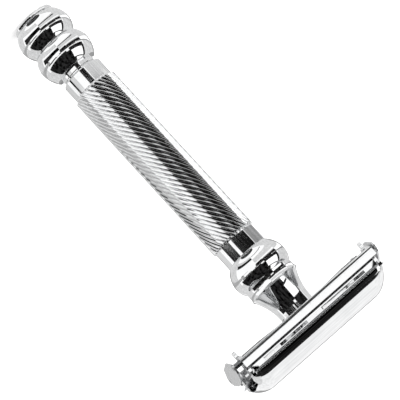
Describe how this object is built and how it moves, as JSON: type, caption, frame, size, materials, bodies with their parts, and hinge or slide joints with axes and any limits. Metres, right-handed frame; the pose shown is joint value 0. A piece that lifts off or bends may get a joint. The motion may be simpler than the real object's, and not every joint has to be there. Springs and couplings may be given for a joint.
{
  "type": "safety razor",
  "caption": "Double-edge safety razor with a grooved round handle, beaded twist knob, slotted guard and hinged butterfly doors over the blade.",
  "frame": {"origin": "centre of the knob's flat end, which is the object's base", "axes": "+Z along the handle from the knob to the head, X along the head and the blade, Y across the blade from one edge to the other"},
  "size_m": [0.0444, 0.0248, 0.105],
  "materials": {
    "chrome_plate": "mirror-bright chrome plate over brass",
    "grip_chrome": "chrome plate over fine diagonal grooves",
    "bare_brass": "plain turned brass",
    "blade_steel": "thin stainless steel with honed edges",
    "spring_steel": "dark hardened spring steel"
  },
  "bodies": {
    "handle": {"handle_tube": "grip_chrome", "stem_bush": "bare_brass", "spring_washer": "spring_steel", "thrust_washer": "chrome_plate", "neck": "chrome_plate", "rod_guide": "bare_brass", "guard_plate": "chrome_plate", "guard_rivets": "chrome_plate", "cam_studs": "spring_steel", "blade_rail": "chrome_plate", "razor_blade": "blade_steel"},
    "knob_assembly": {"knob": "chrome_plate", "knob_end_plug": "chrome_plate", "knob_stem": "bare_brass", "retaining_clip": "spring_steel"},
    "lift_carriage": {"draw_rod": "bare_brass", "lift_bar": "chrome_plate", "end_cap_left": "chrome_plate", "end_cap_right": "chrome_plate", "hinge_pins": "spring_steel"},
    "front_door": {"door_front": "chrome_plate"},
    "rear_door": {"door_rear": "chrome_plate"}
  },
  "joints": [
    {"name": "knob_turn", "type": "hinge", "parent": "handle", "child": "knob_assembly", "pos_m": [0, 0, 0.01], "axis": [0, 0, -1], "range_deg": [0, 810]},
    {"name": "carriage_lift", "type": "slide", "parent": "handle", "child": "lift_carriage", "axis": [0, 0, 1], "range_m": [0, 0.00405]},
    {"name": "front_door_hinge", "type": "hinge", "parent": "lift_carriage", "child": "front_door", "pos_m": [0, -0.0078, 0.0965], "axis": [1, 0, 0], "range_deg": [0, 75]},
    {"name": "rear_door_hinge", "type": "hinge", "parent": "lift_carriage", "child": "rear_door", "pos_m": [0, 0.0078, 0.0965], "axis": [-1, 0, 0], "range_deg": [0, 75]}
  ],
  "couplings": [
    {"joint": "knob_turn", "follows": "carriage_lift", "rad_per_m": 3490.6},
    {"joint": "front_door_hinge", "follows": "carriage_lift", "rad_per_m": 323.2},
    {"joint": "rear_door_hinge", "follows": "carriage_lift", "rad_per_m": 323.2}
  ]
}
